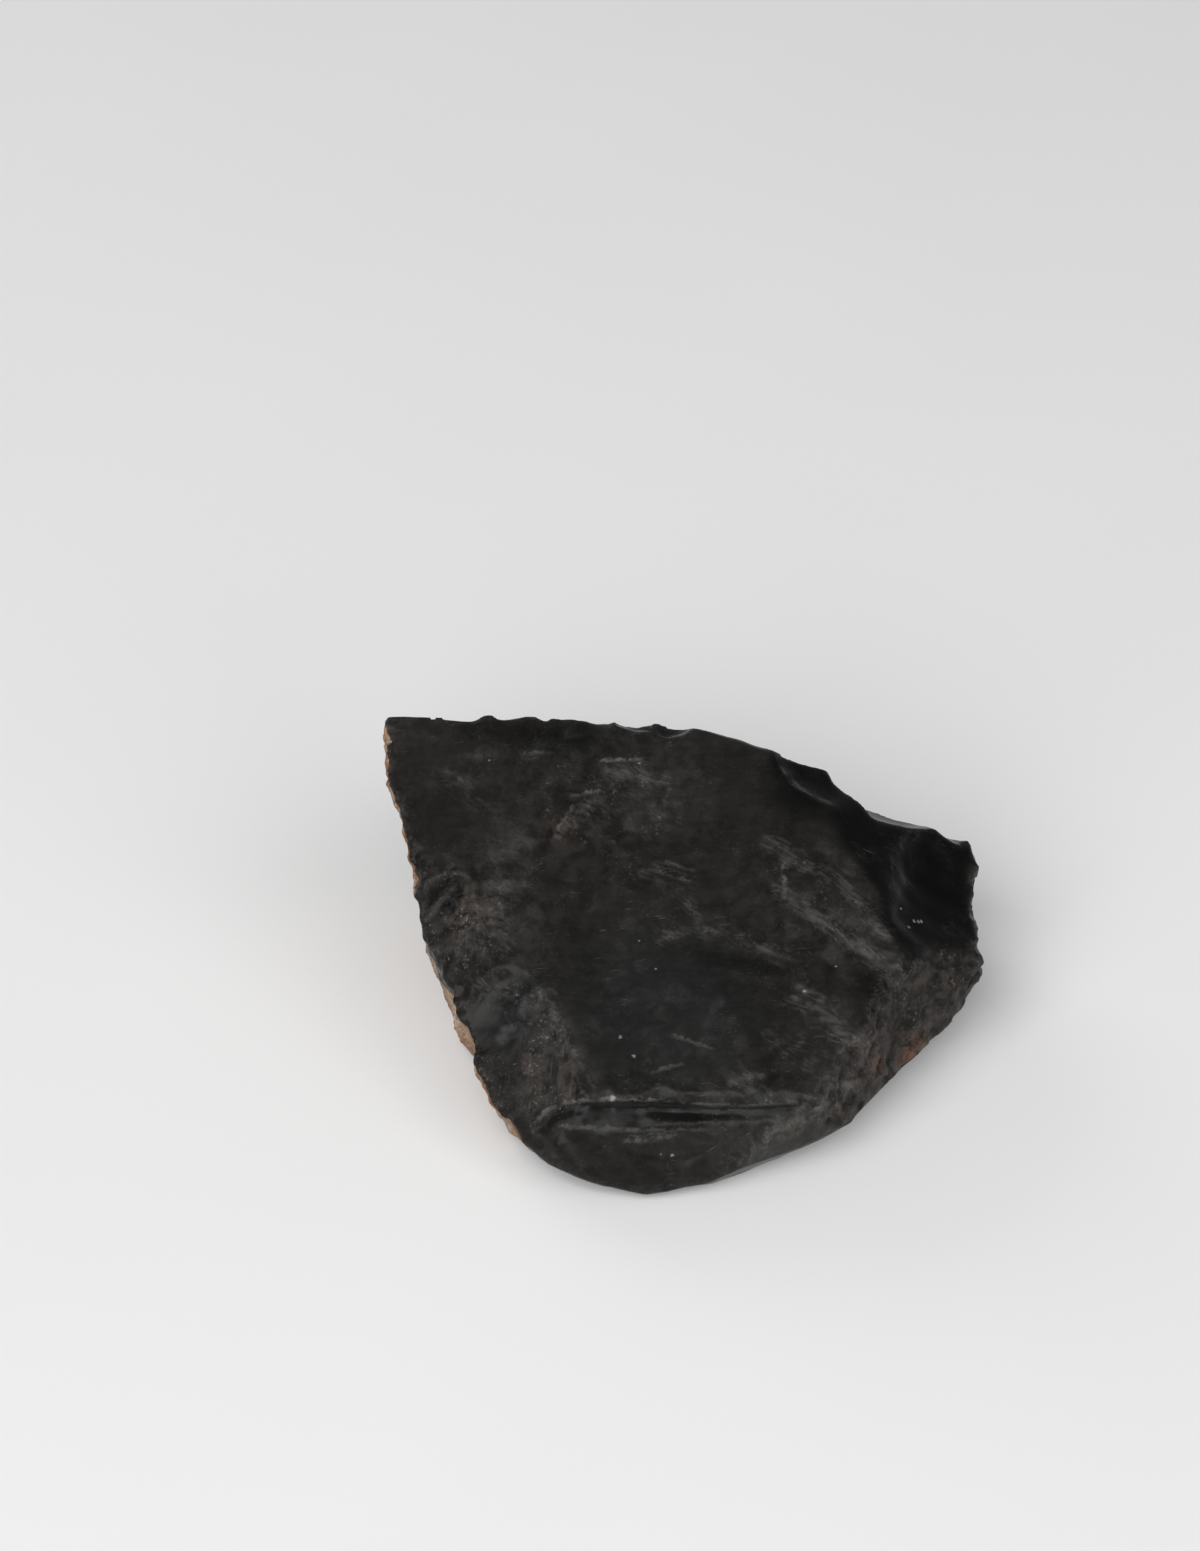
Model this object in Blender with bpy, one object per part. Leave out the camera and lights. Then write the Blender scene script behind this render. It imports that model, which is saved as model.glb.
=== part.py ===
"""A lump of raw black onyx, broken out of the rock and lying on its flattest break.

The lump is one solid. Its corners are laid out in millimetres above the ground it lies on, and
wrapped in one convex skin. Flakes are then struck off it, which leaves shallow hollow scars, its
skin is roughened, and its underside is cut flat where it rests.
"""

import math
import random
from collections import namedtuple

import bmesh
import bpy
from mathutils import Matrix, Vector, noise

MM = 0.001
NODE = "onyx_lump"

# The split face is the broad break on top: its height over the origin, and its climb to the back.
SPLIT_HEIGHT = 22.4
SPLIT_CLIMB = 0.42

# Corners of the split face, in plan.
SPLIT_CORNERS = [
    (-39.2, 28.0),
    (-24.5, 28.8),
    (-7.5, 28.6),
    (1.5, 26.0),
    (9.5, 23.2),
    (11.0, 13.0),
    (21.5, 3.0),
    (26.5, -4.0),
    (21.0, -14.0),
    (16.0, -21.5),
    (0.0, -21.6),
    (-13.5, -21.2),
    (-15.5, -14.0),
    (-18.5, -8.0),
    (-24.5, -2.0),
    (-24.5, 9.0),
]

# Corners of the rim round the split face, where the walls start: x, y, height.
RIM = [
    (-38.8, 18.0, 30.0),
    (-37.4, 11.5, 26.0),
    (-35.8, 9.0, 21.5),
    (-32.3, 0.0, 16.0),
    (-30.5, -4.5, 13.5),
    (-29.0, -8.5, 11.0),
    (-24.5, -18.5, 8.5),
    (-21.0, -22.0, 6.5),
    (-17.5, -25.0, 5.5),
    (-13.0, -26.0, 4.0),
    (-6.0, -27.5, 3.0),
    (2.5, -26.5, 3.5),
    (12.0, -21.5, 4.5),
    (20.3, -18.3, 6.0),
    (25.8, -11.0, 6.5),
    (29.5, -4.0, 7.0),
    (34.5, 0.0, 8.0),
    (38.6, 5.0, 12.0),
    (38.8, 7.5, 14.0),
    (37.8, 18.0, 17.5),
    (36.2, 23.7, 20.3),
    (27.0, 21.5, 21.5),
    (24.0, 21.5, 23.5),
    (19.5, 22.0, 27.0),
    (15.5, 24.0, 30.5),
]

# Corners of the walls at the back and sides: x, y, height.
WALLS = [
    (-36.5, 29.0, 15.0),
    (-18.0, 35.0, 16.0),
    (2.0, 36.0, 12.0),
    (17.0, 32.0, 14.0),
    (34.0, 26.0, 8.0),
    (38.0, 15.0, 7.0),
]

# Corners of the foot, in plan. They lie under the ground until the underside is cut flat.
FOOT_CORNERS = [
    (-31.5, 19.0),
    (-29.0, 5.0),
    (-24.0, -8.5),
    (-20.5, -15.0),
    (-13.0, -21.0),
    (-5.5, -23.5),
    (3.0, -22.0),
    (11.5, -16.0),
    (20.0, -11.0),
    (25.5, -3.0),
    (30.0, 5.0),
    (34.0, 12.0),
    (33.0, 21.0),
    (22.0, 28.0),
    (4.0, 32.0),
    (-18.0, 32.0),
    (-31.0, 29.0),
]
FOOT_DEPTH = 1.0

# A scar is the hollow that a flake leaves: where its middle is, which way it faces, the point
# where the blow fell, its length away from the blow, its width across, and its depth.
Scar = namedtuple("Scar", "middle facing struck length width depth")

SCARS = {
    "dish": Scar((-2.0, 2.0, 23.2), (0.0, -0.39, 0.92), (-24.0, 20.0, 30.0), 46.0, 34.0, 0.8),
    "shoulder": Scar((30.5, 11.0, 20.9), (0.61, -0.18, 0.78), (34.0, 22.0, 20.0), 26.0, 20.0, 1.3),
    "top_corner": Scar((15.5, 19.5, 30.0), (0.5, 0.25, 0.8), (13.0, 23.0, 32.0), 12.0, 9.0, 1.2),
    "back_notch": Scar((24.0, 23.0, 24.5), (0.3, 0.7, 0.65), (25.0, 20.5, 26.0), 11.0, 11.0, 2.4),
    "corner_notch": Scar((29.5, 23.0, 20.9), (0.1, 0.5, 0.86), (25.0, 21.5, 24.0), 12.0, 8.0, 0.6),
    "upper_hackle": Scar((17.5, 8.3, 25.9), (0.2, -0.3, 0.93), (11.0, 13.0, 28.0), 17.0, 4.5, 0.7),
    "lower_hackle": Scar((20.0, 0.0, 22.4), (0.1, -0.4, 0.92), (14.0, 3.7, 24.0), 15.0, 4.0, 0.6),
    "scoop": Scar((20.0, -4.5, 20.5), (0.15, -0.4, 0.9), (21.0, 1.0, 23.0), 9.0, 11.0, 1.4),
    "edge_hollow": Scar((24.5, -9.5, 17.2), (0.7, -0.4, 0.6), (26.5, -4.0, 20.5), 10.0, 5.5, 1.3),
    "ledge": Scar((-1.8, -22.6, 12.2), (-0.03, -0.8, 0.6), (-19.0, -24.0, 11.0), 35.0, 3.9, 1.2),
    "back_strip": Scar((-19.5, 26.0, 33.3), (0.0, -0.2, 0.98), (-9.0, 27.0, 34.0), 15.0, 6.5, 0.9),
    "fan": Scar((-20.0, -15.5, 13.0), (-0.46, -0.48, 0.75), (-22.0, -9.0, 17.5), 17.0, 12.0, 0.9),
    "front": Scar((-3.0, -25.0, 7.5), (0.0, -0.95, 0.3), (-3.0, -22.5, 12.8), 13.0, 26.0, 1.0),
    "front_right": Scar((18.8, -18.3, 11.2), (0.78, -0.6, 0.2), (18.5, -17.5, 15.0), 9.0, 10.0, 0.8),
    "flank": Scar((26.5, -7.8, 12.6), (0.81, -0.54, 0.23), (26.0, -5.0, 20.0), 12.0, 11.0, 0.8),
    "left_bevel": Scar((-30.2, 2.0, 20.6), (-0.62, -0.3, 0.74), (-26.0, 8.5, 26.0), 9.0, 6.0, 0.4),
    "left_pit": Scar((-28.7, -5.0, 16.5), (-0.6, -0.4, 0.7), (-29.0, -2.0, 18.0), 3.6, 3.0, 1.1),
    "right_nick": Scar((36.5, 2.5, 10.0), (0.8, -0.6, 0.0), (37.5, 4.0, 12.0), 4.5, 4.0, 0.9),
    "low_nick": Scar((32.0, -2.2, 7.5), (0.7, -0.7, 0.0), (33.5, -1.0, 9.0), 5.0, 4.0, 0.9),
    "lowest_nick": Scar((27.5, -7.8, 7.0), (0.75, -0.65, -0.1), (28.5, -6.0, 8.5), 4.0, 4.0, 0.8),
    "right_wall": Scar((37.5, 14.0, 8.5), (0.98, 0.0, 0.1), (37.5, 15.0, 17.0), 13.0, 17.0, 1.8),
    "back_right": Scar((24.0, 27.5, 14.0), (0.39, 0.9, 0.19), (22.0, 23.0, 25.0), 24.0, 22.0, 1.8),
    "back": Scar((-8.0, 32.7, 21.0), (0.0, 0.93, 0.37), (-6.0, 28.0, 33.0), 24.0, 28.0, 2.0),
    "back_left": Scar((-29.5, 29.0, 19.0), (0.0, 0.99, 0.1), (-31.0, 28.0, 33.0), 25.0, 15.0, 1.3),
    "back_low": Scar((8.0, 33.7, 7.0), (0.2, 0.93, -0.25), (5.0, 35.5, 12.0), 13.0, 18.0, 1.2),
    "back_low_left": Scar((-22.0, 33.0, 8.0), (-0.25, 0.95, -0.15), (-20.0, 34.0, 15.0), 15.0, 20.0, 1.2),
    "left_wall": Scar((-35.0, 17.0, 16.0), (-0.96, -0.2, -0.15), (-37.0, 19.0, 29.0), 22.0, 17.0, 1.0),
    "left_wall_low": Scar((-28.0, -4.0, 7.0), (-0.93, -0.3, -0.2), (-30.0, 1.0, 14.0), 13.0, 12.0, 0.9),
}

# Worn edges carry small nicks: where the edge starts and ends, which way its nicks face, how many.
NicksAlong = namedtuple("NicksAlong", "start end facing count")

NICKED_EDGES = [
    NicksAlong((-37.0, 28.8, 34.6), (8.0, 25.0, 33.0), (0.0, 0.6, 0.8), 8),
    NicksAlong((-39.2, 20.0, 31.5), (-31.3, -5.0, 15.0), (-0.75, -0.1, 0.65), 7),
    NicksAlong((-13.0, -21.4, 13.4), (15.0, -21.6, 13.4), (0.0, -0.6, 0.8), 6),
    NicksAlong((17.0, -19.0, 14.2), (36.0, 4.0, 15.5), (0.6, -0.5, 0.6), 7),
    NicksAlong((-38.0, 28.5, 31.0), (-35.5, 29.0, 5.0), (-0.7, 0.7, 0.0), 6),
    NicksAlong((38.0, 20.0, 17.5), (18.0, 26.0, 27.0), (0.4, 0.7, 0.6), 5),
]
NICK_SEED = 11
NICK_SIZES = (2.0, 5.0)
NICK_DEPTHS = (0.3, 0.7)
NICK_TURN = 0.3

# A flake's underside is a shallow bowl with low ripples that spread from where the blow fell.
# It reaches past the rim of its scar, so that it comes clear of the stone on every side.
FLAKE_RINGS = 20
FLAKE_SPOKES = 48
FLAKE_OVERREACH = 1.5
FLAKE_MOST_OF_BALL = 0.9
INNERMOST_RING = 0.2
RIPPLE_LENGTH = 4.2
RIPPLE_HEIGHT = 0.1

# Relief of the skin: the size of its lumps and how far they stand out. The weathered left side
# and the crumbled right flank are coarse, and the glassy breaks are smooth.
SWELL_SIZE = 15.0
SWELL_HEIGHT = 0.55
GRAIN_SIZE = 4.5
GRAIN_HEIGHT = 0.5
GRAIN_OCTAVES = 3
SMOOTH_SHARE = 0.3
COARSE_SIDES = [(0.87, -0.46, 0.2), (-0.96, -0.2, -0.15)]
COARSE_FROM = 0.7
COARSE_FULLY = 0.9
VOXEL = 0.55
TRIANGLES = 9000

BLACK_ONYX = (0.018, 0.018, 0.020, 1.0)


def clear_scene():
    for obj in list(bpy.data.objects):
        bpy.data.objects.remove(obj, do_unlink=True)


def add_object(name, mesh):
    obj = bpy.data.objects.new(name, mesh)
    bpy.context.scene.collection.objects.link(obj)
    return obj


def corners():
    split = [(x, y, SPLIT_HEIGHT + SPLIT_CLIMB * y) for x, y in SPLIT_CORNERS]
    foot = [(x, y, -FOOT_DEPTH) for x, y in FOOT_CORNERS]
    return split + RIM + WALLS + foot


def lump_mesh():
    """The convex skin round all the corners."""
    bm = bmesh.new()
    for corner in corners():
        bm.verts.new(corner)
    wrapped = bmesh.ops.convex_hull(bm, input=bm.verts)
    inside = [v for v in wrapped["geom_interior"] if isinstance(v, bmesh.types.BMVert)]
    bmesh.ops.delete(bm, geom=inside, context="VERTS")
    bmesh.ops.recalc_face_normals(bm, faces=bm.faces)
    mesh = bpy.data.meshes.new(NODE)
    bm.to_mesh(mesh)
    bm.free()
    return mesh


def scar_axes(scar):
    """The scar's own axes: X towards the blow, Z out of the stone."""
    out = Vector(scar.facing).normalized()
    blow = Vector(scar.struck) - Vector(scar.middle)
    blow = (blow - out * blow.dot(out)).normalized()
    side = out.cross(blow)
    return Matrix((blow, side, out)).transposed()


def flake_bowl(scar):
    """The rings of points on a flake's rippled underside, from its middle outwards."""
    ball = (scar.width**2 / 4 + scar.depth**2) / (2 * scar.depth)
    reach = min(FLAKE_OVERREACH * scar.width / 2, FLAKE_MOST_OF_BALL * ball)
    blow = scar_axes(scar).inverted() @ (Vector(scar.struck) - Vector(scar.middle))
    ripple = RIPPLE_HEIGHT * min(1.0, scar.depth)
    rings = []
    for ring in range(FLAKE_RINGS + 1):
        radius = reach * max(ring, INNERMOST_RING) / FLAKE_RINGS
        height = ball - math.sqrt(ball**2 - radius**2) - scar.depth
        points = []
        for spoke in range(FLAKE_SPOKES):
            turn = 2 * math.pi * spoke / FLAKE_SPOKES
            x = radius * math.cos(turn) * scar.length / scar.width
            y = radius * math.sin(turn)
            run = math.hypot(x - blow.x, y - blow.y)
            points.append((x, y, height + ripple * math.sin(2 * math.pi * run / RIPPLE_LENGTH)))
        rings.append(points)
    return rings


def flake_mesh(scar):
    """The flake that leaves a scar: its rippled underside, and straight sides up to a lid."""
    rings = flake_bowl(scar)
    rings.append([(x, y, z + scar.width) for x, y, z in rings[-1]])
    bm = bmesh.new()
    loops = [[bm.verts.new(point) for point in ring] for ring in rings]
    for inner, outer in zip(loops, loops[1:]):
        for spoke in range(FLAKE_SPOKES):
            after = (spoke + 1) % FLAKE_SPOKES
            bm.faces.new((inner[spoke], inner[after], outer[after], outer[spoke]))
    bm.faces.new(loops[0])
    bm.faces.new(loops[-1])
    bmesh.ops.recalc_face_normals(bm, faces=bm.faces)
    bm.transform(Matrix.Translation(scar.middle) @ scar_axes(scar).to_4x4())
    mesh = bpy.data.meshes.new("flake")
    bm.to_mesh(mesh)
    bm.free()
    return mesh


def settle(obj):
    """Turn the object's modifiers into its mesh."""
    graph = bpy.context.evaluated_depsgraph_get()
    mesh = bpy.data.meshes.new_from_object(obj.evaluated_get(graph))
    obj.modifiers.clear()
    obj.data = mesh


def nicks():
    """The small scars along the worn edges."""
    chance = random.Random(NICK_SEED)
    for edge in NICKED_EDGES:
        start, end = Vector(edge.start), Vector(edge.end)
        for number in range(edge.count):
            middle = start.lerp(end, (number + chance.uniform(0.1, 0.9)) / edge.count)
            turn = Vector([chance.uniform(-NICK_TURN, NICK_TURN) for axis in range(3)])
            facing = Vector(edge.facing) + turn
            length = chance.uniform(*NICK_SIZES)
            width = length * chance.uniform(0.6, 1.0)
            yield Scar(middle, facing, end + facing, length, width, chance.uniform(*NICK_DEPTHS))


def strike_flakes(stone):
    flakes = bpy.data.collections.new("flakes")
    bpy.context.scene.collection.children.link(flakes)
    for scar in [*SCARS.values(), *nicks()]:
        flake = bpy.data.objects.new("flake", flake_mesh(scar))
        flake.hide_render = True
        flake.display_type = "WIRE"
        flakes.objects.link(flake)
    cut = stone.modifiers.new("scars", "BOOLEAN")
    cut.operand_type = "COLLECTION"
    cut.collection = flakes
    cut.operation = "DIFFERENCE"
    settle(stone)
    for flake in list(flakes.objects):
        bpy.data.objects.remove(flake, do_unlink=True)


def even_out(stone):
    """Give the stone a fine, even mesh, so that relief can be raised on it."""
    even = stone.modifiers.new("even_mesh", "REMESH")
    even.mode = "VOXEL"
    even.voxel_size = VOXEL
    settle(stone)


def roughness(facing):
    """The share of the grain that a side shows, from the way it faces."""
    toward = max(facing.dot(Vector(side).normalized()) for side in COARSE_SIDES)
    coarse = min(1.0, max(0.0, (toward - COARSE_FROM) / (COARSE_FULLY - COARSE_FROM)))
    return SMOOTH_SHARE + (1.0 - SMOOTH_SHARE) * coarse


def raise_relief(stone):
    places = [(v.co.copy(), v.normal.copy()) for v in stone.data.vertices]
    for vertex, (place, facing) in zip(stone.data.vertices, places):
        swell = SWELL_HEIGHT * noise.noise(place / SWELL_SIZE)
        grain = GRAIN_HEIGHT * noise.fractal(place / GRAIN_SIZE, 1.0, 2.0, GRAIN_OCTAVES)
        vertex.co = place + facing * (swell + grain * roughness(facing))


def thin_out(stone):
    """Leave about as many triangles as the shape needs."""
    thin = stone.modifiers.new("fewer_faces", "DECIMATE")
    thin.ratio = TRIANGLES / (2 * len(stone.data.polygons))
    settle(stone)


def cut_foot(stone):
    """Cut the underside flat at the ground and close it."""
    bm = bmesh.new()
    bm.from_mesh(stone.data)
    whole = bm.verts[:] + bm.edges[:] + bm.faces[:]
    cut = bmesh.ops.bisect_plane(bm, geom=whole, plane_co=(0, 0, 0), plane_no=(0, 0, 1), clear_inner=True)
    edge = [e for e in cut["geom_cut"] if isinstance(e, bmesh.types.BMEdge)]
    bmesh.ops.holes_fill(bm, edges=edge, sides=0)
    bmesh.ops.recalc_face_normals(bm, faces=bm.faces)
    bm.to_mesh(stone.data)
    bm.free()


def stand_at_origin(stone):
    """Put the middle of the stone over the origin, and turn millimetres into metres."""
    xs = [v.co.x for v in stone.data.vertices]
    ys = [v.co.y for v in stone.data.vertices]
    middle = Vector(((min(xs) + max(xs)) / 2, (min(ys) + max(ys)) / 2, 0.0))
    stone.data.transform(Matrix.Scale(MM, 4) @ Matrix.Translation(-middle))


def onyx_material():
    material = bpy.data.materials.new("black_onyx")
    material.use_nodes = True
    shader = material.node_tree.nodes["Principled BSDF"]
    shader.inputs["Base Color"].default_value = BLACK_ONYX
    shader.inputs["Roughness"].default_value = 0.5
    material.diffuse_color = BLACK_ONYX
    return material


def main():
    clear_scene()
    stone = add_object(NODE, lump_mesh())
    strike_flakes(stone)
    even_out(stone)
    raise_relief(stone)
    thin_out(stone)
    cut_foot(stone)
    stand_at_origin(stone)
    stone.data.materials.append(onyx_material())


main()
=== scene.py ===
"""The raw black onyx lump: its broken surface, its finish, and a plain studio round it."""

import math
import random

import bmesh
import bpy
import numpy as np
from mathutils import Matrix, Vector, kdtree, noise


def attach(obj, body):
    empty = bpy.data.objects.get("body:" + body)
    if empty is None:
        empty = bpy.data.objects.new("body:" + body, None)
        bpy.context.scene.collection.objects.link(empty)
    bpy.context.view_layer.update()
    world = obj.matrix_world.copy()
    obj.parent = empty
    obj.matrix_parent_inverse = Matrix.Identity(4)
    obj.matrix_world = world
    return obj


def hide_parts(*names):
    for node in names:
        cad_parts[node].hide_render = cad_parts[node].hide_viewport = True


MM = 0.001
STONE = "onyx_lump"

# The camera looks along +Y and down on the stone, from the photograph's side.
IMAGE_HEIGHT_PX = 1551
CAMERA_ELEVATION = math.radians(40.0)
CAMERA_DISTANCE = 620.0
CAMERA_AIM = (-10.8, 9.7, 35.4)
PIXELS_PER_MM = 7.9
SENSOR = 36.0

# The surface is remeshed this finely before its small breaks are made.
SKIN_STEP = 0.385
FIRST_SMOOTHING = 2
FACE_SMOOTHING = 14

# How sharply the surface bends, per millimetre, where its ridges are kept crisp, chipped or worn, and
# where its creases get painted shade.
CRISP_BENDS = (0.05, 0.18)
CHIPPED_BENDS = (0.06, 0.25)
WORN_BENDS = (0.12, 0.6)
DARK_CREASES = (0.08, 0.5)

# Which way each side of the stone faces, and from what likeness on a point belongs to it.
SIDES = {
    "split": ((0.0, -0.39, 0.92), 0.94, 0.985),
    "shoulder": ((0.61, -0.18, 0.78), 0.93, 0.98),
    "flank": ((0.81, -0.54, 0.23), 0.74, 0.92),
    "front": ((0.0, -0.95, 0.3), 0.80, 0.93),
    "fan": ((-0.46, -0.48, 0.75), 0.92, 0.975),
    "bevel": ((-0.65, -0.25, 0.72), 0.90, 0.965),
    "rind": ((-0.96, -0.20, -0.15), 0.78, 0.95),
    "back": ((0.35, 0.93, -0.05), 0.74, 0.90),
    "right": ((0.98, 0.02, -0.20), 0.86, 0.96),
    "rear": ((-0.25, 0.96, 0.10), 0.86, 0.95),
}

# How softly a side's finish runs out over its edges, where that isn't crisp.
BLENDS = {"flank": 40, "bevel": 40, "fan": 16, "right": 20}

# How pale each side is, beside the rest of the stone.
REST_TONE = 0.36
TONES = {
    "split": 0.37,
    "shoulder": 0.02,
    "flank": 0.50,
    "front": 0.32,
    "fan": 0.06,
    "bevel": 0.50,
    "back": 0.34,
    "right": 0.42,
    "rear": 0.38,
}

# Swellings and grain all over, each with its size and height. The grain is higher on rough sides.
SWELLING_SIZE = 7.0
SWELLING = 0.05
GRAIN_SIZE = 1.3
GRAIN = 0.015
ROUGH_GRAIN = 0.13

# Ripples run round the point where a face was struck: side, point, spacing and height. They wander by
# a share of their spacing, over a given distance.
RIPPLE_WANDER = 0.35
WANDER_SIZE = 12.0
RIPPLES = [
    ("split", (-2.0, 27.0, 34.0), 5.2, 0.040),
    ("shoulder", (10.0, 22.0, 31.0), 3.1, 0.032),
    ("fan", (-25.0, -8.0, 20.0), 2.3, 0.022),
    ("front", (-2.0, -26.0, 13.0), 2.8, 0.040),
    ("back", (4.0, 30.0, 34.0), 3.4, 0.045),
    ("right", (38.0, 15.0, 18.0), 3.0, 0.050),
    ("rear", (-22.0, 26.0, 38.0), 3.2, 0.050),
]

# Small scallops where the stone crumbled: side, their size, and their depth.
SCALLOPS = [
    ("flank", 3.4, 0.30),
    ("bevel", 1.6, 0.12),
    ("rind", 2.6, 0.40),
    ("fan", 5.0, 0.12),
    ("back", 8.0, 0.35),
    ("right", 5.0, 0.30),
    ("rear", 7.0, 0.35),
]

# Steps where a flake ended, with their haze. Each has how pale it is, how wide its haze is, how deep
# and wide it sinks to the right of its path, and the path.
STEPS = [
    (0.6, 2.9, 0.12, 2.0, [(-17.7, -13.6, 18.6), (-16.3, -16.9, 17.0), (-15.0, -20.0, 15.7)]),
    (0.6, 3.6, 0.08, 2.4, [
        (-23.9, 2.9, 25.8), (-23.4, -1.1, 24.0), (-23.7, -5.0, 22.3), (-23.1, -8.2, 20.9),
    ]),
    (0.6, 4.2, 0.00, 0.0, [
        (-30.2, 4.3, 25.1), (-28.2, -0.8, 22.0), (-28.1, -4.6, 21.1), (-27.8, -7.5, 19.5),
    ]),
    (0.7, 3.2, 0.10, 1.5, [(-25.9, -10.6, 18.1), (-20.8, -12.6, 17.4), (-18.9, -12.7, 18.5)]),
    (0.8, 2.1, 0.08, 1.5, [(-15.9, 7.7, 27.2), (-14.0, 9.5, 28.1), (-12.1, 11.5, 29.3)]),
    (0.9, 2.2, 0.08, 1.5, [(-9.5, 15.5, 31.2), (-5.7, 14.8, 31.0), (-2.9, 14.1, 30.6)]),
    (0.5, 3.5, 0.00, 0.0, [(-30.4, 15.4, 30.7), (-27.4, 13.3, 30.0), (-26.1, 11.9, 29.4)]),
    (0.35, 8.0, 0.00, 0.0, [(-10.8, 11.9, 29.4), (-5.7, 12.6, 29.7), (-1.2, 11.4, 29.1)]),
    (0.6, 2.6, 0.10, 2.0, [(-4.7, 3.3, 24.8), (-1.7, 2.2, 24.4), (0.6, -1.1, 23.0), (1.8, -4.3, 21.7)]),
    (0.6, 2.4, 0.14, 3.0, [(-3.0, -5.6, 21.5), (0.6, -3.7, 22.0), (4.6, -4.7, 21.7), (12.8, -8.4, 20.7)]),
    (0.8, 3.0, 0.16, 2.2, [(11.1, 6.4, 27.1), (14.6, 3.2, 26.1), (19.6, 1.9, 24.7), (25.1, -4.7, 22.0)]),
    (0.9, 3.0, 0.16, 2.2, [(12.2, 0.2, 24.5), (15.9, -3.2, 23.3), (20.1, -5.3, 21.8), (26.0, -9.3, 19.4)]),
    (0.9, 2.9, 0.12, 1.8, [
        (13.6, -13.5, 18.5), (15.7, -14.4, 18.4), (17.4, -15.9, 17.8), (20.4, -19.3, 15.3),
    ]),
    (0.6, 3.8, 0.00, 0.0, [(11.0, -18.9, 16.4), (13.5, -19.6, 16.2), (15.6, -21.6, 15.5)]),
    (0.9, 2.6, 0.05, 0.8, [(5.9, -24.4, 14.2), (7.6, -24.0, 14.4), (9.0, -25.2, 13.8)]),
    (0.7, 5.1, 0.12, 2.0, [
        (20.2, -21.1, 10.2), (17.1, -25.6, 11.6), (10.3, -28.7, 8.6), (6.6, -29.4, 6.2),
    ]),
    (0.7, 4.0, 0.12, 2.6, [(-24.5, 25.0, 10.0), (-21.5, 25.2, 18.0), (-18.5, 25.0, 25.0)]),
    (0.7, 4.0, 0.20, 3.2, [(2.0, 27.9, 18.0), (8.0, 28.0, 16.0), (13.0, 26.8, 12.0), (17.0, 25.8, 6.0)]),
    (0.6, 5.0, 0.00, 0.0, [(-2.0, 24.2, 28.0), (4.0, 25.4, 25.0), (9.0, 25.4, 22.0)]),
]

# The ledge under the split face: how deep and wide it sinks to the right of its lip, and the lip.
LEDGE = (0.45, 2.4, [
    (-18.3, -26.1, 9.8), (-17.3, -25.5, 10.8), (-15.5, -25.6, 12.0), (-12.7, -26.4, 13.2),
    (-4.0, -26.0, 12.7), (2.2, -26.1, 12.0), (7.8, -26.5, 12.4), (12.7, -26.5, 12.8),
])

# Thin pale lines, painted highlights along the sharp lips and pale marks along the scratches: strength and
# path.
LIPS = [
    (1.0, [(-18.3, -26.1, 9.8), (-17.3, -25.5, 10.8), (-15.5, -25.6, 12.0), (-12.7, -26.4, 13.2)]),
    (1.0, [(-12.7, -26.4, 13.2), (-9.3, -26.1, 13.1), (-4.0, -26.0, 12.7)]),
    (0.6, [(-4.0, -26.0, 12.7), (2.2, -26.1, 12.0), (7.8, -26.5, 12.4), (12.7, -26.5, 12.8)]),
    (0.5, [(-15.0, -27.8, 10.0), (-10.8, -28.2, 10.0), (-5.8, -28.3, 9.7), (1.6, -28.1, 9.7)]),
    (0.6, [(-6.8, -28.8, 8.5), (-4.3, -28.5, 8.6), (-1.9, -28.2, 8.9)]),
    (0.4, [(-17.9, -13.7, 18.3), (-15.8, -17.0, 17.2), (-13.9, -20.9, 15.7), (-12.0, -24.0, 14.4)]),
    (0.3, [(-24.3, -4.0, 22.8), (-24.6, -2.4, 23.4), (-23.8, -0.5, 24.2)]),
    (1.0, [(12.4, 2.4, 25.6), (12.6, 0.2, 24.5)]),
    (0.5, [(-19.8, 18.0, 32.2), (-17.9, 18.1, 32.3)]),
    (1.0, [(-9.8, 17.0, 31.7), (-6.6, 17.0, 31.8)]),
    (0.8, [(-13.4, 12.6, 29.8), (-11.4, 13.0, 30.0)]),
    (0.8, [(-15.6, 9.2, 28.0), (-14.7, 10.6, 28.6)]),
    (0.6, [(-3.5, 3.4, 24.9), (-0.4, 2.4, 24.5)]),
    (0.5, [(-2.8, 4.6, 25.4), (0.2, 3.8, 25.1)]),
    (0.7, [(-0.8, -18.7, 16.5), (2.4, -19.6, 16.0)]),
    (0.6, [(-4.0, -23.0, 14.8), (-1.4, -22.3, 15.2)]),
]

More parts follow.
